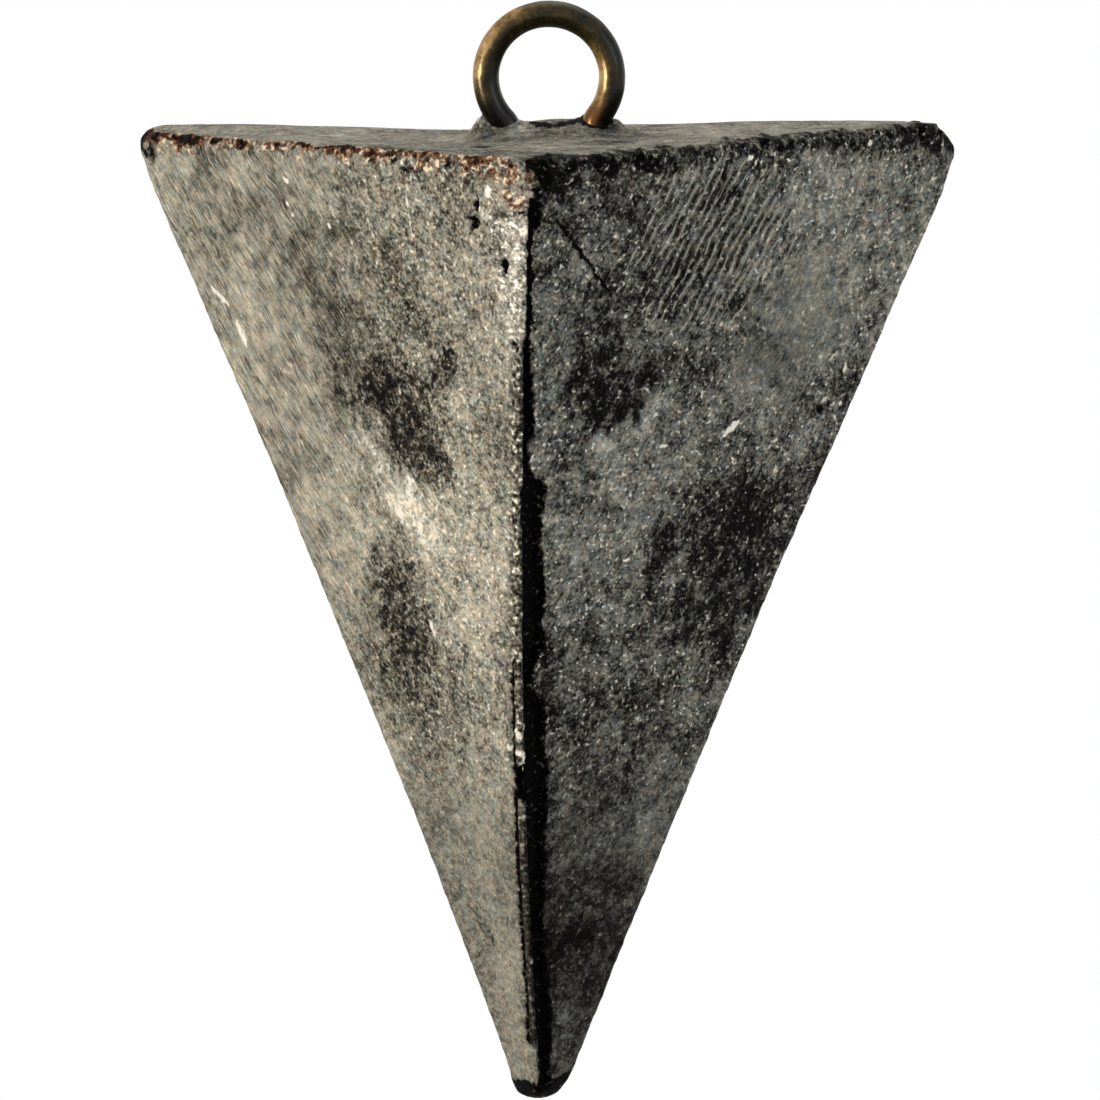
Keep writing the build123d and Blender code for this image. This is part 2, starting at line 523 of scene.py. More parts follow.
def unevenFaces(spot):
    # cast faces are never flat
    p = spot.at
    swell = 0.14 * wander(p, 13, 3.1) + 0.05 * wander(p, 4.2, 7.7) + 0.022 * wander(p, 1.3, 1.9)
    spot.move += spot.normal * swell
    spot.move.z -= spot.isTop * 0.15 * smoothStep(17, 5, p.xy.length)
    frontY = min(topInradius - 1, -cornerReach + edgeSlope * abs(p.x))
    backShare = smoothStep(frontY, topInradius, p.y)
    rise = between(topRise["front"], p.x) * (1 - backShare) + between(topRise["back"], p.x) * backShare
    spot.move.z += rise * smoothStep(topZ - 5, topZ, p.z)
    spot.paint["topSide"] = spot.isTop
    spot.paint["rightSide"] = smoothStep(0.3, 0.6, spot.normal.x) * (1 - spot.isTop)
    spot.paint["tone"] += 0.08 * wander(p, 7, 4.0)
    # coarse near the seam, smoother and streaky outwards and towards the tip
    low = smoothStep(-33, -43, p.z)
    if spot.isTop > 0.5:
        coarse, mottled, streaky = 0.5, 0.6, 0.65
    elif spot.isFront <= 0:
        coarse, mottled, streaky = 0.5, 0.5, 0.2
        blotch = wander(p, 7.5, 2.7) + 0.3 * wander(p, 2.2, 5.1)
        spot.paint["stain"] += 0.6 * smoothStep(0.05, 0.55, blotch)
        spot.paint["tone"] += 0.12 * wander(p, 11, 6.2)
    elif spot.side == "left":
        inner = smoothStep(-15, -6, p.x)
        coarse = 0.15 + 0.95 * inner * (1 - 0.75 * low)
        mottled = 0.7 - 0.2 * inner - 0.25 * low
        streaky = 0.95 - 0.6 * inner - 0.3 * low
    else:
        coarse = 1.5 - 0.8 * low + 0.2 * smoothStep(14, 18, p.x) * smoothStep(-18, -12, p.z)
        mottled = 1.15 - 0.5 * low
        streaky = 0.55 - 0.35 * smoothStep(-24, -36, p.z)
    spot.paint["coarse"] = coarse
    spot.paint["mottled"] = mottled
    spot.paint["streaky"] = streaky


def shapeSeam(spot):
    p = spot.at
    here = spot.isFront * smoothStep(2.6, 2.0, abs(p.x))
    here *= smoothStep(seam["startZ"] + 0.4, seam["startZ"] - 0.4, p.z)
    here *= smoothStep(seam["endZ"] - 0.5, seam["endZ"] + 0.4, p.z)
    if here <= 0 or not nearFrontEdge(p):
        return
    ragged = wander(p, 0.8, 5.5)
    across = p.x - seam["wobble"] * noise.noise(Vector((0.3, 0.7, p.z / 2.3)))
    low = smoothStep(-33, -44, p.z)
    across += (0.09 - 0.06 * low) * wander(p, 0.42, 1.1)
    under = smoothStep(seam["crestZ"] + 0.5, seam["crestZ"] - 0.5, p.z)
    crestLeft = seam["crestLeft"] + 0.16 * wander(p, 1.7, 9.1)
    crest = under * smoothStep(crestLeft - 0.1, crestLeft + 0.1, across)
    crest *= smoothStep(seam["crestRight"] + 0.07, seam["crestRight"] - 0.07, across)
    crack = under * smoothStep(seam["crackWidth"] + 0.09 * low + 0.1, 0.02, abs(across - seam["crackAt"]))
    openness = noise.noise(Vector((8.8, 0, p.z / 1.3))) + 1.2 * smoothStep(-26, -38, p.z) - 0.3
    crack *= smoothStep(-0.1, 0.25, openness)
    wide = seam["grooveTop"] + 0.5 * smoothStep(-7.6, -6.6, p.z + 0.5 * wander(p, 0.6, 3.3))
    wide += (seam["grooveNarrow"] - wide) * under
    wide += (seam["grooveWide"] - wide) * smoothStep(seam["stepZ"] + 0.2, seam["stepZ"] - 0.2, p.z)
    wide -= seam["pinch"] * smoothStep(1.6, 0.5, abs(p.z - seam["pinchZ"]))
    wide -= 0.3 * smoothStep(-36, -46, p.z)
    wide += 0.2 * wander(p, 2.3, 2.2) + 0.1 * wander(p, 0.9, 4.2) + 0.07 * wander(p, 0.37, 6.1)
    gap = smoothStep(1.15, 0.75, abs(p.z - seam["gapZ"]) + 0.2 * wander(p, 0.6, 4.6))
    reached = smoothStep(seam["crestEndZ"] - 0.4, seam["crestEndZ"] + 0.4, p.z)
    crest *= (1 - gap) * reached
    crack *= reached
    start = seam["crestRight"] + 0.1 * (1 - under)
    start -= 0.18 * smoothStep(1.6, 0.6, abs(p.z - seam["stepZ"] + 1.4)) + 0.62 * gap
    groove = smoothStep(start - 0.05, start + 0.07, across) * smoothStep(wide + 0.06, wide - 0.06, across)
    spot.move.y -= seam["crestRise"] * crest * (0.75 + 0.35 * ragged) * here
    depth = seam["grooveDepth"] * (0.4 + 0.6 * under) * groove + seam["crackDepth"] * crack
    spot.move -= spot.normal * depth * here
    # black inside: painted shade in the undercut over black oxide, with a painted shadow fading over the
    # right bank
    inside = smoothStep(start - 0.06, start + 0.07, across)
    black = inside * smoothStep(wide + 0.2, wide - 0.14, across)
    spot.paint["sootAndShade"] += here * max(black * 1.1, crack * 0.8)
    # painted shadow on the right bank, fading out away from the groove
    bankShadow = inside * smoothStep(wide + 1.1, wide, across)
    spot.paint["stain"] += here * bankShadow * (0.2 + 0.2 * smoothStep(-25, -29, p.z) + 0.3 * ragged)
    side = smoothStep(crestLeft - 0.35, crestLeft + 0.1, across) * (1 - inside)
    spot.paint["crest"] += here * under * side * reached
    spot.paint["stain"] += here * crest * 0.95 * low


def shapeFlat(spot):
    # the corner at the top of the front edge was knocked back
    p = spot.at
    facing = spot.normal.dot(flatNormal)
    if p.y > -18 or facing < 0.93 or p.z < seam["crestZ"] - 0.8 or flatNormal.dot(p - flatPoint) < -0.35:
        return
    flat = smoothStep(0.93, 0.985, facing)
    low = smoothStep(topZ - 2.3, topZ - 3.3, p.z + 0.4 * wander(p, 0.8, 2.0))
    spot.paint["burnishAndSheen"] += flat * low
    spot.paint["coarse"] = 1.0
    line = smoothStep(0.28, 0.1, abs(p.z - leadBody["flatLineZ"] + 0.25 * wander(p, 0.9, 1.6)))
    outline = smoothStep(seam["crestZ"] + 0.5, seam["crestZ"] + 0.1, p.z + 0.2 * wander(p, 0.5, 1.3))
    spot.paint["sootAndShade"] += 0.4 * flat * line + 0.45 * flat * outline
    spot.paint["rust"] += flat * (1 - low) * smoothStep(0.0, 0.4, wander(p, 0.9, 4.4) + 0.1) * 0.55
    spot.move += spot.normal * flat * (0.09 * wander(p, 0.7, 9.3) + 0.05 * wander(p, 0.3, 9.3))


def crumbleTopEdges(spot):
    p = spot.at
    if p.y > 13.5:
        return
    edge = crust[spot.side]
    top = p.z - topZ
    drop = edge["drop"] * (1 + 0.6 * wander(p, 2.6, 6.6) + 0.6 * wander(p, 0.9, 2.1))
    drop *= smoothStep(17, 11, p.y)
    if spot.side == "right":
        drop += 0.9 * smoothStep(3.4, 1.8, p.x)
    inset = edge["inset"] * (1 + 0.9 * wander(p, 1.7, 2.7))
    skin = smoothStep(-drop - 0.25, -drop * 0.5, top)
    skin *= smoothStep(-inset - 0.15, -inset, max(spot.left, spot.right))
    if skin <= 0:
        return
    lumps = edge["rough"] * wander(p, 1.4, 1.2) + edge["fine"] * wander(p, 0.45, 3.4)
    spot.move += spot.normal * skin * lumps * smoothStep(12.5, 9, p.y)
    brim = smoothStep(-0.62, -0.3, top + 0.3 * wander(p, 0.8, 8.0) + 0.3 * wander(p, 2.2, 3.0))
    if spot.side == "left":
        brown = 0.3 + 0.4 * brim + 0.5 * wander(p, 1.6, 4.1) + 0.3 * wander(p, 0.7, 0.6)
        spot.paint["rust"] += skin * brown
        spot.paint["stain"] += skin * (0.3 + 0.6 * wander(p, 1.1, 6.3))
    else:
        black = -0.2 + 0.2 * brim + 0.55 * wander(p, 1.3, 7.1) + 0.3 * wander(p, 0.5, 1.7)
        spot.paint["sootAndShade"] += skin * black
        spot.paint["stain"] += skin * (0.75 + 0.5 * wander(p, 0.8, 2.9))
        spot.paint["sootAndShade"] += 0.45 * skin * smoothStep(3.2, 2.0, p.x)
    grains = smoothStep(0.25, 0.5, wander(p, 0.5, 5.2)) * smoothStep(-0.2, 0.3, wander(p, 2.0, 8.8))
    spot.paint["gleam"] += skin * 0.9 * grains * (1 - 0.9 * brim)


def darkenEnds(spot):
    # black and brown at the corners and the left rear edge, painted shade at the tip and along the right
    # rear edge, and painted shadows and dark marks on the top
    p = spot.at
    rightEnd = smoothStep(20.6, 22.4, p.x + 0.9 * wander(p, 1.2)) * smoothStep(topZ - 2.6, topZ - 1.2, p.z)
    leftEnd = smoothStep(-18.8, -21.2, p.x + 1.2 * wander(p, 1.4)) * smoothStep(topZ - 2.2, topZ - 1.2, p.z)
    leftRim = smoothStep(-21.6, -22.4, p.x + 0.3 * wander(p, 0.9)) * smoothStep(topZ - 2.4, topZ - 1.6, p.z)
    spot.paint["stain"] += 0.6 * rightEnd + 0.12 * leftEnd
    spot.paint["sootAndShade"] += 0.5 * rightEnd + 0.6 * leftRim * smoothStep(-0.3, 0.2, wander(p, 1.0, 4.9))
    spot.paint["rust"] += 0.28 * leftEnd
    # painted shade on the front and underside of the tip
    slope = tipZ + 1.2 + 0.12 * (p.x + 0.3)
    tipShade = smoothStep(slope + 0.25, slope - 0.2, p.z + 0.16 * wander(p, 0.8) + 0.12 * wander(p, 0.35, 4.0))
    spot.paint["sootAndShade"] += tipShade * max(spot.isFront, smoothStep(-0.5, -0.9, spot.normal.z))
    # painted shade along the rounded right rear edge
    edge = smoothStep(-0.8, -0.2, spot.right) * smoothStep(-1.3, -0.5, spot.back)
    spot.paint["sootAndShade"] += 0.45 * edge
    edge = smoothStep(-0.75, -0.2, spot.left) * smoothStep(-1.5, -0.6, spot.back)
    spot.paint["stain"] += 0.5 * edge * (0.7 + 0.7 * wander(p, 1.2, 3.9))
    if spot.isTop > 0 or p.z > topZ + 0.1:
        # painted shadow in the crevice in front of the mound, a dark dash, a painted shadow ring round the
        # right leg and a dark patch
        sag = topZ + 0.66 + 0.12 * (p.x - 0.75) ** 2
        creviceShadow = smoothStep(0.24, 0.04, abs(p.z - sag + 0.1 * wander(p, 0.5)))
        creviceShadow *= smoothStep(1.9, 1.1, abs(p.x - topMarks["creviceX"])) * (p.y < 0)
        x, y = topMarks["dash"]
        dash = smoothStep(0.75, 0.4, abs(p.x - x)) * smoothStep(1.9, 1.2, abs(p.y - y))
        fromLeg = (p.xy - Vector(topMarks["rightLeg"])).length
        legShadowRing = smoothStep(1.35, 0.85, fromLeg + 0.2 * wander(p, 0.5, 2.2))
        spot.paint["sootAndShade"] += 0.7 * creviceShadow + 0.7 * dash + 0.55 * legShadowRing * (p.y < 0.3)
        x, y = topMarks["darkPatch"]
        darkPatch = smoothStep(1.8, 0.4, abs(p.x - x)) * smoothStep(4.5, 1.0, abs(p.y - y))
        spot.paint["stain"] += 0.4 * darkPatch
        spot.paint["tone"] += 0.05 * smoothStep(6, 12, abs(p.x)) - 0.12 * darkPatch


def placeMarks(spot):
    if spot.isFront < 0.2:
        return
    p = shaken(shaken(spot.at, 2.2, 0.9, 1.5), 0.7, 0.3, 6.5)
    lumpy = 1 + (0.9 if spot.side == "right" else 0.3) * wander(spot.at, 0.95, 7.7)
    for name, table in (("tone", shades), ("stain", stains)):
        for x, z, halfWide, halfHigh, lean, strength in table[spot.side]:
            share = 1 - smoothStep(0.15, 2.4, inOval(p, x, z, halfWide, halfHigh, lean))
            spot.paint[name] += strength * share * (lumpy if name == "stain" else 1)
            if strength > 0.7:
                spot.paint["sootAndShade"] += 0.46 * share * smoothStep(-0.25, 0.35, wander(spot.at, 0.95, 7.7))
    if spot.side == "left":
        # painted sheen along the pale band, broken into rubbed spots, clearing the dark patches
        litAndRubbed = 1 - smoothStep(0.1, 1.6, inOval(p, *paleBand))
        spot.paint["burnishAndSheen"] += litAndRubbed * smoothStep(0.0, 0.45, wander(spot.at, 0.9, 3.7) + 0.1)
        spot.paint["stain"] *= 1 - 0.8 * litAndRubbed
    p = spot.at
    for x, z, halfWide, halfHigh, depth in pits:
        dip = smoothStep(1.5, 0.3, inOval(p, x, z, halfWide, halfHigh, 0) + 0.5 * wander(p, 0.35, 2.5))
        spot.move -= spot.normal * depth * dip
        spot.paint["sootAndShade"] += dip
    rough = 0.08 * wander(p, 0.3)
    # painted glints: near-white bare-metal knocks
    for x, z, halfLength, halfWidth, lean in gleams:
        across, share = alongLine(p, x, z, halfLength, lean)
        taper = halfWidth * max(0.0, 1 - share * share)
        patchy = 0.8 + 0.6 * wander(p, 0.4, 1.4)
        spot.paint["gleam"] += (taper > 0) * patchy * smoothStep(taper + 0.1, taper - 0.08, across + rough)
    away, share = fromScratch(shaken(shaken(p, 0.9, 0.12, 3.0), 0.35, 0.08))
    wide = scratch["halfWidth"] * (1 - 0.85 * abs(share - 0.35))
    line = smoothStep(wide + 0.06, 0.0, away)
    spot.paint["sootAndShade"] += line * 0.8
    spot.paint["stain"] += line * 0.4
    spot.move -= spot.normal * scratch["depth"] * line
    if spot.side == "right":
        ragged = shaken(p, 2.5, 1.2)
        spot.paint["ridge"] = 1 - smoothStep(0.15, 2.3, inOval(ragged, *ridgePatch))
        spot.paint["coarse"] -= 0.35 * spot.paint["ridge"]
        smoothed = 1 - smoothStep(0.3, 2.0, inOval(ragged, *smoothPatch))
        spot.paint["coarse"] *= 1 - 0.55 * smoothed
        spot.paint["mottled"] *= 1 - 0.4 * smoothed


def sculptBody(body):
    mesh = body.data
    spots = [Spot(v) for v in mesh.vertices]
    for step in (bendLongEdges, unevenFaces, shapeSeam, shapeFlat,
                 crumbleTopEdges, darkenEnds, placeMarks):
        for spot in spots:
            step(spot)
        print("  sculpted:", step.__name__)
    for v, spot in zip(mesh.vertices, spots):
        v.co += spot.move * mm
    for name in paintNames:
        values = [min(1.5, max(-1.0, spot.paint[name])) for spot in spots]
        mesh.attributes.new(name, "FLOAT", "POINT").data.foreach_set("value", values)
    mesh.update()
    bpy.ops.object.shade_smooth()


body = blockOut()
addMound(body)
remeshBody(body)
sculptBody(body)
print("lead body sculpted:", sum(len(f.vertices) - 2 for f in body.data.polygons), "triangles")


# Wire eye

wire = {                        # mm, wraps in degrees
    "radius": 0.73,
    "loopRadius": 3.47,
    "shiftX": 0.4,              # the eye stands a little to the right of the body's axis
    "rightWrap": 38.0,
    "leftWrap": 44.0,
    "neckRadius": 0.9,
    "footZ": -18.4,
    "heelRadius": 2.2,
    "footLength": 3.3,
    "sides": 28,
    "dents": 0.02,
    "litAndRubbedSide": (-0.82, -0.50, 0.28),
}


def modelEye():
    w = wire
    wrapR = radians(w["rightWrap"])
    wrapL = radians(w["leftWrap"])
    legR = w["loopRadius"] * cos(wrapR) - w["neckRadius"] * (1 - cos(wrapR))
    legL = w["loopRadius"] * cos(wrapL) - w["neckRadius"] * (1 - cos(wrapL))
    neckR = -(w["loopRadius"] + w["neckRadius"]) * sin(wrapR)
    neckL = -(w["loopRadius"] + w["neckRadius"]) * sin(wrapL)
    heelZ = w["footZ"] + w["heelRadius"]
    rightEnd = legR + w["heelRadius"] + w["footLength"]
    leftEnd = -legL - w["heelRadius"] - w["footLength"]
    startPiece()
    bpy.ops.mesh.primitive_circle_add(
        vertices=w["sides"], radius=w["radius"] * mm, fill_type="NOTHING", rotation=(0, pi / 2, 0),
        location=(rightEnd * mm, 0, w["footZ"] * mm))
    eye = bpy.context.object
    eye.name = "brassEye"
    bpy.ops.object.transform_apply(location=True, rotation=True, scale=True)
    bpy.ops.object.mode_set(mode="EDIT")
    bpy.ops.mesh.select_mode(type="EDGE")
    bpy.ops.mesh.select_all(action="SELECT")

    def straight(x, z):
        bpy.ops.mesh.extrude_region_move(TRANSFORM_OT_translate={"value": (x * mm, 0, z * mm)})

    def turn(x, z, angle, steps):
        bpy.ops.mesh.spin(steps=steps, angle=angle, center=(x * mm, 0, z * mm), axis=(0, -1, 0))

    # right foot, heel, leg and neck, round the loop, and down the left side
    straight(-w["footLength"], 0)
    turn(legR + w["heelRadius"], heelZ, pi / 2, 10)
    straight(0, neckR - heelZ)
    turn(legR + w["neckRadius"], neckR, wrapR, 6)
    turn(0, 0, -(pi + wrapR + wrapL), 72)
    turn(-legL - w["neckRadius"], neckL, wrapL, 6)
    straight(0, heelZ - neckL)
    turn(-legL - w["heelRadius"], heelZ, pi / 2, 10)
    straight(-w["footLength"], 0)
    for end in (rightEnd, leftEnd):
        pick(eye, "edges", lambda e: all(abs(v.co.x / mm - end) < 0.01 for v in e.verts))
        bpy.ops.mesh.edge_face_add()
    bpy.ops.mesh.select_all(action="SELECT")
    bpy.ops.mesh.remove_doubles(threshold=0.01 * mm)
    bpy.ops.mesh.normals_make_consistent(inside=False)
    bpy.ops.transform.translate(value=(w["shiftX"] * mm, 0, 0))
    bpy.ops.object.mode_set(mode="OBJECT")
    eye.data.update()
    dented = []
    paint = {"worn": [], "orangeHighlight": [], "dull": []}
    for v in eye.data.vertices:
        p = v.co / mm
        dent = w["dents"] * (wander(p, 1.6, 2.0) + 0.5 * wander(p, 0.6, 5.0))
        dented.append(v.co + v.normal * dent * mm)
        # painted highlight and wear: the side facing the key light gets lighter gold
        facing = v.normal.dot(Vector(w["litAndRubbedSide"]))
        litAndRubbed = smoothStep(0.36, 0.95, facing) * (0.8 + 0.5 * wander(p, 1.5, 8.0))
        # painted shade low on the legs: the left leg's gold fades out downward, and low on the left leg and
        # on the right-facing sides the colour darkens
        if p.x < 0:
            litAndRubbed *= smoothStep(-1.9, -0.4, p.z)
        if p.x < 0 or v.normal.x > 0.1:
            litAndRubbed -= 0.4 * smoothStep(-0.8, -2.2, p.z)
        paint["worn"].append(litAndRubbed)
        # painted orange highlight low on the right leg, on the side facing the key light
        lowDown = smoothStep(-0.7, -2.5, p.z) * (p.x > 0)
        inward = smoothStep(0.35, -0.2, v.normal.x)
        paint["orangeHighlight"].append(lowDown * inward * (0.6 + 0.6 * wander(p, 1.1, 3.0)))
        paint["dull"].append(smoothStep(0.3, 0.9, v.normal.z))
    for v, place in zip(eye.data.vertices, dented):
        v.co = place
    for name, values in paint.items():
        eye.data.attributes.new(name, "FLOAT", "POINT").data.foreach_set("value", values)
    bpy.ops.object.shade_smooth_by_angle(angle=radians(50))
    print("wire eye:", len(eye.data.vertices), "vertices")
    return eye


eye = modelEye()


# Materials

def colour(code):
    # sRGB hex to linear
    parts = [int(code[i:i + 2], 16) / 255 for i in (1, 3, 5)]
    return [c / 12.92 if c <= 0.04045 else ((c + 0.055) / 1.055) ** 2.4 for c in parts] + [1.0]


def put(tree, kind, inputs=None, stops=None, **settings):
    # adds a node with its settings, its ramp stops and its values or links
    made = tree.nodes.new(kind)
    for name, value in settings.items():
        setattr(made, name, value)
    if stops:
        ramp = made.color_ramp.elements
        while len(ramp) < len(stops):
            ramp.new(0.5)
        for element, (position, code) in zip(ramp, stops):
            element.position = position
            element.color = colour(code)
    for name, value in (inputs or {}).items():
        if isinstance(value, bpy.types.NodeSocket):
            tree.links.new(value, made.inputs[name])
        else:
            made.inputs[name].default_value = value
    shown = [socket for socket in made.outputs if socket.enabled]
    return shown[0] if shown else None


def perMm(size):
    # scale of a noise whose features are about size mm across
    return 1 / (size * mm)


def newMaterial(name):
    material = bpy.data.materials.new(name)
    material.use_nodes = True
    material.node_tree.nodes.clear()
    return material, material.node_tree


leadLook = {                    # sizes in mm
    "clouds": (9.0, 2.0, 0.25),     # size, detail, strength
    "mottle": (2.4, 2.0, 0.75),
    "spots": (0.9, 2.0, 0.72),
    "grain": (0.42, 2.0, 0.6),
    "dust": (0.18, 1.0, 0.58),
    "streak": (1.3, 0.26, 0.42),    # length, width, strength
    "hairline": (1.5, 0.12, 0.24),
    "fibre": 0.5,               # strength of the soft lines between the hairlines
    "drift": (2.2, 0.9),        # size of the bends in the streaks, and how far they bend
    "drawnOut": 0.4,            # scale of the grains from front to back
    "ridgeSpacing": 0.8,
    # painted highlight on the ridge crests and painted shade in their valleys
    "ridgeHighlight": 4.2,
    "ridgeValleyShade": -0.2,
    "bead": 0.3,
    "pit": 0.55,
    "pitDark": -0.26,
    "stainDark": -0.16,
    "speck": 0.26,
    "speckBright": 0.4,
    "hue": 0.6,
    "grit": 0.4,
    "crumb": 0.26,
    "roughness": 0.7,
    "bareRoughness": 0.42,
    "specular": 0.02,
    "bump": 0.08,
}

# the way the streaks run on each face
streakFlow = {
    "left": (0.54, -0.52, -0.84),
    "right": (0.44, 0.34, 0.83),
    "top": (1, 0, 0),
}


def layOnFace(flow, normal):
    # the turn that lays a pattern on a face, its X along the flow and its Z out of the face
    x = (flow - normal * flow.dot(normal)).normalized()
    return Matrix((x, normal.cross(x), normal)).transposed().to_euler()


def oxidisedLead():
    # cast lead under years of oxide: dull grey, grainy, black in the hollows, bare metal where it was
    # knocked;
    # its colour also carries painted shade and shadows, a painted sheen, painted highlights and painted
    # glints
    look = leadLook
    material, tree = newMaterial("oxidised cast lead")
    place = tree.nodes.new("ShaderNodeTexCoord").outputs["Object"]
    paint = {}
    for name in paintNames:
        node = tree.nodes.new("ShaderNodeAttribute")
        node.attribute_name = name
        paint[name] = node.outputs["Fac"]

    # grains are drawn out from front to back, so that they look round on the faces that slant away
    grainPlace = put(tree, "ShaderNodeMapping", {"Vector": place, "Scale": (1.0, look["drawnOut"], 1.0)})
    # streaks run down each face the way the metal flowed, not quite straight
    bendSize, bendReach = look["drift"]
    drift = put(tree, "ShaderNodeTexNoise", {"Vector": place, "Scale": perMm(bendSize), "Detail": 1.0})
    drift = drift.node.outputs["Color"]
    drift = put(tree, "ShaderNodeVectorMath", {0: drift, 1: (0.5, 0.5, 0.5)}, operation="SUBTRACT")
    flowPlace = put(tree, "ShaderNodeVectorMath", {0: drift, 1: [bendReach * mm] * 3, 2: place},
                    operation="MULTIPLY_ADD")
    outwards = {"left": sides["left"][0], "right": sides["right"][0], "top": Vector((0, 0, 1))}
    turns = {side: layOnFace(Vector(flow), outwards[side]) for side, flow in streakFlow.items()}
    flows = {}
    for name in ("streak", "hairline"):
        length, width = look[name][:2]
        perSide = {}
        for side, turn in turns.items():
            turned = put(tree, "ShaderNodeMapping", {
                "Vector": flowPlace, "Rotation": turn, "Scale": (length * mm, width * mm, width * mm)},
                vector_type="TEXTURE")
            perSide[side] = put(tree, "ShaderNodeTexNoise", {
                "Vector": turned, "Scale": 1.0, "Detail": 1.0, "Roughness": 0.5})
        flow = put(tree, "ShaderNodeMix", {0: paint["rightSide"], 2: perSide["left"], 3: perSide["right"]})
        flows[name] = put(tree, "ShaderNodeMix", {0: paint["topSide"], 2: flow, 3: perSide["top"]})

    # tone: clouds and mottle all over, grain where the casting is coarse, streaks where it is smooth
    coarse = put(tree, "ShaderNodeMath", {0: paint["coarse"], 1: 0.9, 2: 0.3}, operation="MULTIPLY_ADD")
    tone = put(tree, "ShaderNodeMath", {0: paint["tone"], 1: 0.5}, operation="ADD")
    layers = [(flows["streak"], look["streak"][2], paint["streaky"]),
              (flows["hairline"], look["fibre"], paint["streaky"])]
    mottled = paint["mottled"]
    for name, where in (("clouds", None), ("mottle", mottled), ("spots", mottled),
                        ("grain", coarse), ("dust", coarse)):
        size, detail, strength = look[name]
        pattern = put(tree, "ShaderNodeTexNoise", {
            "Vector": grainPlace, "Scale": perMm(size), "Detail": detail, "Roughness": 0.6})
        layers.append((pattern, strength, where))
    for pattern, strength, where in layers:
        centred = put(tree, "ShaderNodeMath", {0: pattern, 1: 0.5}, operation="SUBTRACT")
        if where:
            centred = put(tree, "ShaderNodeMath", {0: centred, 1: where}, operation="MULTIPLY")
        tone = put(tree, "ShaderNodeMath", {0: centred, 1: strength, 2: tone}, operation="MULTIPLY_ADD")
    hair = put(tree, "ShaderNodeMapRange", {"Value": flows["hairline"], "From Min": 0.64, "From Max": 0.74})
    hair = put(tree, "ShaderNodeMath", {0: hair, 1: paint["streaky"]}, operation="MULTIPLY")
    tone = put(tree, "ShaderNodeMath", {0: hair, 1: look["hairline"][2], 2: tone}, operation="MULTIPLY_ADD")

    # chatter ridges on the right face: painted highlights in broken lines along their crests and painted
    # shade in the valleys, the same tone also raising them in the bump
    turned = put(tree, "ShaderNodeMapping", {
        "Vector": flowPlace, "Rotation": turns["right"], "Scale": [look["ridgeSpacing"] * mm] * 3},
        vector_type="TEXTURE")
    oneBand = pi / 10           # the wave texture's own band width
    wave = put(tree, "ShaderNodeTexWave", {
        "Vector": turned, "Scale": oneBand, "Distortion": 3.0, "Detail": 2.0, "Detail Scale": 1.1},
        wave_type="BANDS", bands_direction="Y")
    ridgeHighlightLine = put(tree, "ShaderNodeMapRange", {"Value": wave, "From Min": 0.74, "From Max": 0.96})
    broken = put(tree, "ShaderNodeMapRange", {"Value": flows["streak"], "From Min": 0.45, "From Max": 0.66})
    ridge = put(tree, "ShaderNodeMath", {0: ridgeHighlightLine, 1: paint["ridge"]}, operation="MULTIPLY")
    ridge = put(tree, "ShaderNodeMath", {0: ridge, 1: broken}, operation="MULTIPLY")
    beads = put(tree, "ShaderNodeTexNoise", {
        "Vector": grainPlace, "Scale": perMm(look["bead"]), "Detail": 1.0})
    beads = put(tree, "ShaderNodeMapRange", {
        "Value": beads, "From Min": 0.42, "From Max": 0.62, "To Min": 0.1})
    ridge = put(tree, "ShaderNodeMath", {0: ridge, 1: beads}, operation="MULTIPLY")
    # painted shade in the valleys between the ridges
    valleyShade = put(tree, "ShaderNodeMapRange", {"Value": wave, "From Min": 0.5, "From Max": 0.0})
    valleyShade = put(tree, "ShaderNodeMath", {0: valleyShade, 1: paint["ridge"]}, operation="MULTIPLY")
    for amount, strength in ((ridge, look["ridgeHighlight"]), (valleyShade, look["ridgeValleyShade"])):
        tone = put(tree, "ShaderNodeMath", {0: amount, 1: strength, 2: tone}, operation="MULTIPLY_ADD")

    # black pits, sparse on clean metal and crowded together in the dark patches
    holes = put(tree, "ShaderNodeTexNoise", {
        "Vector": grainPlace, "Scale": perMm(look["pit"]), "Detail": 4.0, "Roughness": 0.75})
    holes = put(tree, "ShaderNodeMath", {0: paint["stain"], 1: -0.3, 2: holes}, operation="MULTIPLY_ADD")
    holes = put(tree, "ShaderNodeMath", {0: paint["coarse"], 1: -0.03, 2: holes}, operation="MULTIPLY_ADD")
    pit = put(tree, "ShaderNodeMapRange", {"Value": holes, "From Min": 0.38, "From Max": 0.22})
    # bright specks
    specks = put(tree, "ShaderNodeTexNoise", {
        "Vector": grainPlace, "Scale": perMm(look["speck"]), "Detail": 1.0})
    specks = put(tree, "ShaderNodeMapRange", {"Value": specks, "From Min": 0.6, "From Max": 0.76})
    specks = put(tree, "ShaderNodeMath", {0: specks, 1: paint["coarse"]}, operation="MULTIPLY")
    dim = tone
    for amount, strength in ((pit, look["pitDark"]), (paint["stain"], look["stainDark"]),
                             (specks, look["speckBright"])):
        dim = put(tree, "ShaderNodeMath", {0: amount, 1: strength, 2: dim}, operation="MULTIPLY_ADD")

    lead = put(tree, "ShaderNodeValToRGB", {"Fac": dim}, stops=(
        (0.0, "#040404"), (0.2, "#2d2a27"), (0.38, "#64635f"), (0.5, "#8a8b87"), (0.65, "#aaaaa4"),
        (0.85, "#d3d1ca"), (1.0, "#f3f0e8")))
    hues = put(tree, "ShaderNodeTexNoise", {
        "Vector": grainPlace, "Scale": perMm(look["hue"]), "Detail": 3.0})
    hues = put(tree, "ShaderNodeValToRGB", {"Fac": hues}, stops=(
        (0.36, "#f2f4f5"), (0.46, "#f8fbf4"), (0.54, "#fff9ee"), (0.66, "#fff5ea")))
    lead = put(tree, "ShaderNodeMix", {0: 1.0, 6: lead, 7: hues}, data_type="RGBA", blend_type="MULTIPLY")

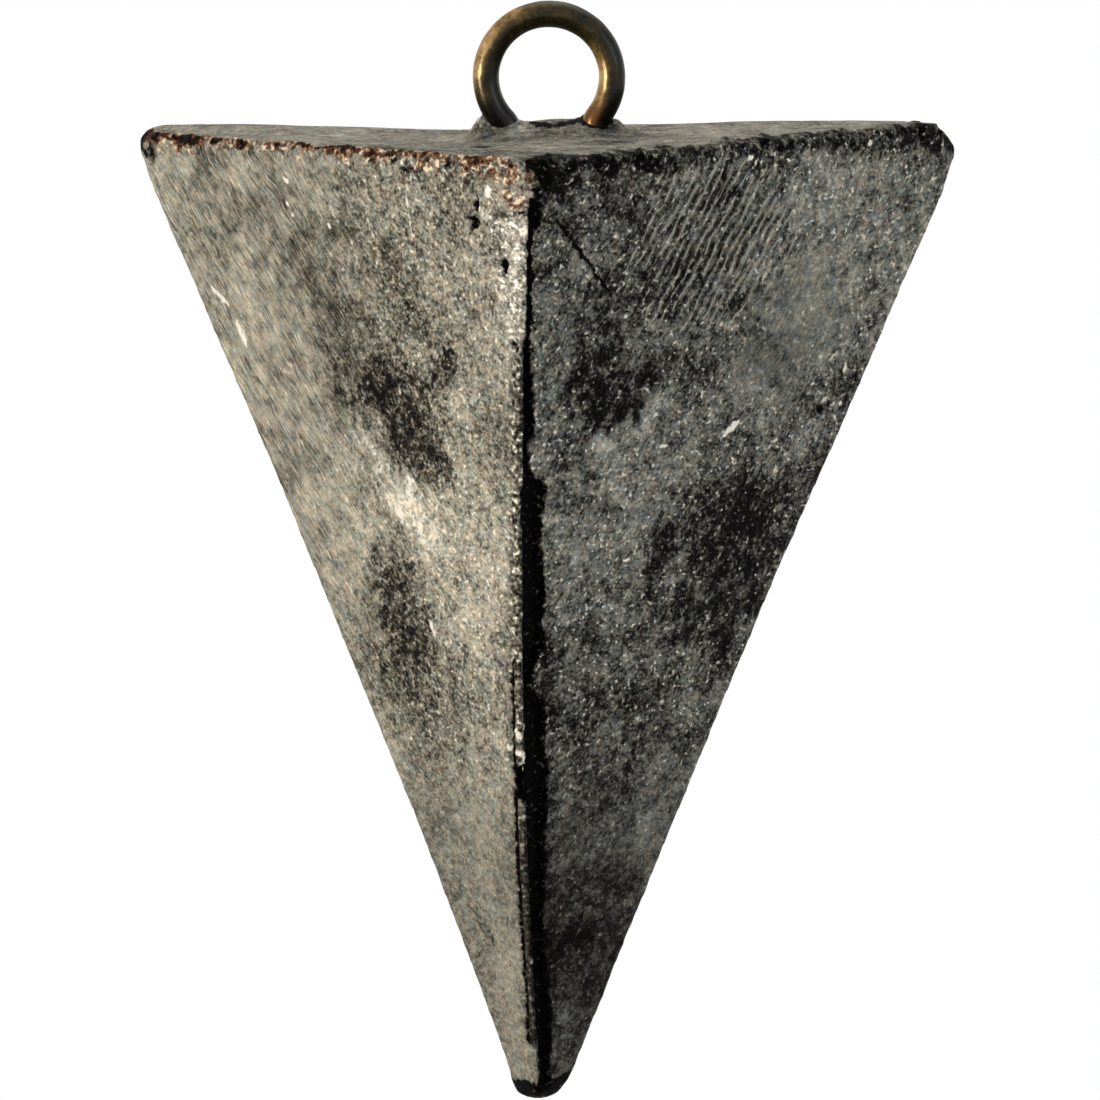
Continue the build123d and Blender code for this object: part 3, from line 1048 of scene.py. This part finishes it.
    # brown crust on the edges, with cream grains in it
    grit = put(tree, "ShaderNodeTexNoise", {
        "Vector": grainPlace, "Scale": perMm(look["grit"]), "Detail": 3.0, "Roughness": 0.6})
    grains = put(tree, "ShaderNodeTexNoise", {
        "Vector": grainPlace, "Scale": perMm(look["crumb"]), "Detail": 2.0})
    cream = put(tree, "ShaderNodeMix", {0: 0.55, 2: grit, 3: grains})
    cream = put(tree, "ShaderNodeMath", {0: paint["rust"], 1: -0.26, 2: cream}, operation="MULTIPLY_ADD")
    brown = put(tree, "ShaderNodeValToRGB", {"Fac": cream}, stops=(
        (0.2, "#0a0807"), (0.27, "#2a1c14"), (0.33, "#5a3f30"), (0.39, "#8f7058"), (0.48, "#eddfca")))
    crusted = put(tree, "ShaderNodeMath", {0: grit, 1: 1.4, 2: paint["rust"]}, operation="MULTIPLY_ADD")
    crusted = put(tree, "ShaderNodeMapRange", {"Value": crusted, "From Min": 1.0, "From Max": 1.25})
    # crest of the seam: grey grains, the brightest of them cream
    crest = put(tree, "ShaderNodeValToRGB", {"Fac": grains}, stops=(
        (0.36, "#1c1a15"), (0.46, "#54514a"), (0.56, "#838078"), (0.63, "#bab7aa"), (0.7, "#faf7ea")))
    crestShare = put(tree, "ShaderNodeMath", {0: paint["stain"], 1: -0.8, 2: paint["crest"]},
                     operation="MULTIPLY_ADD", use_clamp=True)
    # rubbed flat, and the painted sheen of the pale band
    bright = put(tree, "ShaderNodeValToRGB", {"Fac": dim}, stops=(
        (0.18, "#15130f"), (0.36, "#5b5a53"), (0.5, "#8f8e85"), (0.63, "#b5b3a9"), (0.78, "#f4f2e9")))
    # black oxide in the seam and on the edges, with painted shade in the seam groove, at the tip and along
    # the right rear edge, and painted shadows on the top
    blackness = put(tree, "ShaderNodeMath", {0: grit, 1: 1.2, 2: paint["sootAndShade"]}, operation="MULTIPLY_ADD")
    blackness = put(tree, "ShaderNodeMapRange", {"Value": blackness, "From Min": 0.85, "From Max": 1.15})
    blackOxideAndShade = put(tree, "ShaderNodeValToRGB", {"Fac": grains}, stops=(
        (0.52, "#030303"), (0.64, "#11100f"), (0.74, "#5c5850")))
    # bare metal, painted near-white as glints
    glintOnKnocks = put(tree, "ShaderNodeMath", {0: grains, 1: 0.9, 2: paint["gleam"]}, operation="MULTIPLY_ADD")
    glintOnKnocks = put(tree, "ShaderNodeMapRange", {"Value": glintOnKnocks, "From Min": 0.75, "From Max": 1.25})
    # each finish lies over the ones before it
    shade = lead
    for share, finish in ((crusted, brown), (crestShare, crest), (paint["burnishAndSheen"], bright),
                          (blackness, blackOxideAndShade), (glintOnKnocks, colour("#ece6d8"))):
        shade = put(tree, "ShaderNodeMix", {0: share, 6: shade, 7: finish}, data_type="RGBA")

    bare = put(tree, "ShaderNodeMath", {0: paint["burnishAndSheen"], 1: 0.35, 2: glintOnKnocks}, operation="MULTIPLY_ADD")
    bare = put(tree, "ShaderNodeMath", {0: specks, 1: 0.5, 2: bare}, operation="MULTIPLY_ADD")
    bare = put(tree, "ShaderNodeMath", {0: bare, 1: 0.8}, operation="MULTIPLY", use_clamp=True)
    rough = put(tree, "ShaderNodeMapRange", {
        "Value": bare, "To Min": look["roughness"], "To Max": look["bareRoughness"]})
    relief = put(tree, "ShaderNodeMath", {0: pit, 1: -0.4, 2: tone}, operation="MULTIPLY_ADD")
    bumps = put(tree, "ShaderNodeBump", {"Height": relief, "Strength": 0.8, "Distance": look["bump"] * mm})
    shader = put(tree, "ShaderNodeBsdfPrincipled", {
        "Base Color": shade, "Roughness": rough, "Metallic": bare, "Specular IOR Level": look["specular"],
        "Normal": bumps})
    put(tree, "ShaderNodeOutputMaterial", {"Surface": shader})
    return material


brassLook = {                   # sizes in mm
    "patches": 1.6,
    "grain": 0.2,
    "litSideLift": 0.42,               # how much lighter the side facing the key light is painted, as highlight and wear
    "metallic": 0.3,
    "roughness": (0.25, 0.6),   # on the sides, on top
    "specular": 0.28,
    "bump": 0.03,
}


def tarnishedBrass():
    # drawn brass wire gone dark olive brown, painted gold on the side facing the key light as painted
    # highlight and rubbed wear
    look = brassLook
    material, tree = newMaterial("tarnished brass wire")
    place = tree.nodes.new("ShaderNodeTexCoord").outputs["Object"]
    paint = {}
    for name in ("worn", "orangeHighlight", "dull"):
        node = tree.nodes.new("ShaderNodeAttribute")
        node.attribute_name = name
        paint[name] = node.outputs["Fac"]
    patches = put(tree, "ShaderNodeTexNoise", {
        "Vector": place, "Scale": perMm(look["patches"]), "Detail": 3.0, "Roughness": 0.6})
    grain = put(tree, "ShaderNodeTexNoise", {
        "Vector": place, "Scale": perMm(look["grain"]), "Detail": 2.0})
    mixed = put(tree, "ShaderNodeMath", {0: grain, 1: 0.3, 2: patches}, operation="MULTIPLY_ADD")
    mixed = put(tree, "ShaderNodeMath", {0: mixed, 1: 0.6}, operation="MULTIPLY")
    # worn carries the painted highlight on the key-lit side as well as the wear
    mixed = put(tree, "ShaderNodeMath", {0: paint["worn"], 1: look["litSideLift"], 2: mixed},
                operation="MULTIPLY_ADD")
    tarnish = put(tree, "ShaderNodeValToRGB", {"Fac": mixed}, stops=(
        (0.3, "#0c0a05"), (0.44, "#28210f"), (0.6, "#524322"), (0.72, "#94774a"), (0.88, "#d2b081")))
    # painted orange highlight low on the right leg
    tarnish = put(tree, "ShaderNodeMix", {0: paint["orangeHighlight"], 6: tarnish, 7: colour("#8f5a26")},
                  data_type="RGBA")
    onSides, onTop = look["roughness"]
    rough = put(tree, "ShaderNodeMapRange", {"Value": paint["dull"], "To Min": onSides, "To Max": onTop})
    bumps = put(tree, "ShaderNodeBump", {"Height": mixed, "Strength": 0.25, "Distance": look["bump"] * mm})
    shader = put(tree, "ShaderNodeBsdfPrincipled", {
        "Base Color": tarnish, "Metallic": look["metallic"], "Roughness": rough,
        "Specular IOR Level": look["specular"], "Normal": bumps})
    put(tree, "ShaderNodeOutputMaterial", {"Surface": shader})
    return material


for piece, material, node, slotName in ((body, oxidisedLead(), "cast_body", "cast_lead"),
                                        (eye, tarnishedBrass(), "wire_eye", "brass_wire")):
    piece.data.materials.clear()
    piece.data.materials.append(material)
    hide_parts(node)
    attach(piece, "root")
print("materials on")


# Camera, floor and light

view = {
    "azimuth": 1.75,            # degrees towards +X
    "elevation": 5.5,
    "distance": 480.0,          # mm
    "target": (0.455, 0.0, -26.10),
    "lens": 284.5,
    "sensor": 36.0,
}

studio = {                      # direction to the lamp, distance and size in mm, watts, colour
    "key": ((-0.82, -0.57, 0.02), 500, 200, 2.05, "#fff4e4"),
    "fill": ((0.72, -0.62, 0.30), 600, 300, 0.48, "#e0f1ff"),
    "top": ((0.05, 0.45, 0.89), 500, 260, 1.5, "#fff6ea"),
}
ambient = 0.12

floorLook = {
    "drop": 70.0,               # mm from the tip down to the floor
    "size": 2400.0,
    "shadowReach": (60.0, 110.0),   # mm: the shadow shows near the sinker, further out it is plain white
    "glow": 0.6,
}


def placeCamera():
    az = radians(view["azimuth"])
    el = radians(view["elevation"])
    away = Vector((sin(az) * cos(el), -cos(az) * cos(el), sin(el)))
    lens = bpy.data.cameras.new("camera")
    lens.lens = view["lens"]
    lens.sensor_width = view["sensor"]
    lens.clip_start = 0.01
    camera = bpy.data.objects.new("camera", lens)
    camera.location = (Vector(view["target"]) + away * view["distance"]) * mm
    camera.rotation_euler = (-away).to_track_quat("-Z", "Y").to_euler()
    bpy.context.scene.collection.objects.link(camera)
    bpy.context.scene.camera = camera


def shownWhite(tree):
    # 1 for what the camera sees straight, mirrored in metal or through glass
    rays = tree.nodes.new("ShaderNodeLightPath").outputs
    seen = put(tree, "ShaderNodeMath", {0: rays["Is Camera Ray"], 1: rays["Is Glossy Ray"]},
               operation="MAXIMUM")
    return put(tree, "ShaderNodeMath", {0: seen, 1: rays["Is Transmission Ray"]}, operation="MAXIMUM")


def light():
    for name, (direction, distance, size, watts, code) in studio.items():
        lamp = bpy.data.lights.new(name, "AREA")
        lamp.shape = "DISK"
        lamp.size = size * mm
        lamp.energy = watts
        lamp.color = colour(code)[:3]
        holder = bpy.data.objects.new(name, lamp)
        towards = Vector(direction).normalized()
        holder.location = (Vector(view["target"]) + towards * distance) * mm
        holder.rotation_euler = towards.to_track_quat("Z", "Y").to_euler()
        bpy.context.scene.collection.objects.link(holder)
    world = bpy.data.worlds.new("studio")
    bpy.context.scene.world = world
    world.use_nodes = True
    tree = world.node_tree
    tree.nodes.clear()
    level = put(tree, "ShaderNodeMapRange", {"Value": shownWhite(tree), "To Min": ambient, "To Max": 1.0})
    sky = put(tree, "ShaderNodeBackground", {"Color": colour("#ffffff"), "Strength": level})
    put(tree, "ShaderNodeOutputWorld", {"Surface": sky})


def layFloor():
    startPiece()
    level = tipZ - floorLook["drop"]
    bpy.ops.mesh.primitive_plane_add(size=floorLook["size"] * mm, location=(0, 0, level * mm))
    floor = bpy.context.object
    floor.name = "floor"
    material, tree = newMaterial("pale floor")
    place = tree.nodes.new("ShaderNodeTexCoord").outputs["Object"]
    away = tree.nodes.new("ShaderNodeVectorMath")
    away.operation = "LENGTH"
    tree.links.new(place, away.inputs[0])
    near, far = floorLook["shadowReach"]
    white = put(tree, "ShaderNodeMapRange", {
        "Value": away.outputs["Value"], "From Min": near * mm, "From Max": far * mm,
        "To Min": floorLook["glow"], "To Max": 1.0}, interpolation_type="SMOOTHSTEP")
    share = put(tree, "ShaderNodeMath", {0: shownWhite(tree), 1: white}, operation="MULTIPLY")
    matt = put(tree, "ShaderNodeBsdfDiffuse", {"Color": colour("#d6d6d3")})
    glow = put(tree, "ShaderNodeEmission", {"Color": colour("#ffffff"), "Strength": 1.0})
    mixed = put(tree, "ShaderNodeMixShader", {0: share, 1: matt, 2: glow})
    put(tree, "ShaderNodeOutputMaterial", {"Surface": mixed})
    floor.data.materials.append(material)


placeCamera()
light()
layFloor()
bpy.context.scene.view_settings.view_transform = "Standard"
print("camera, light and floor set")
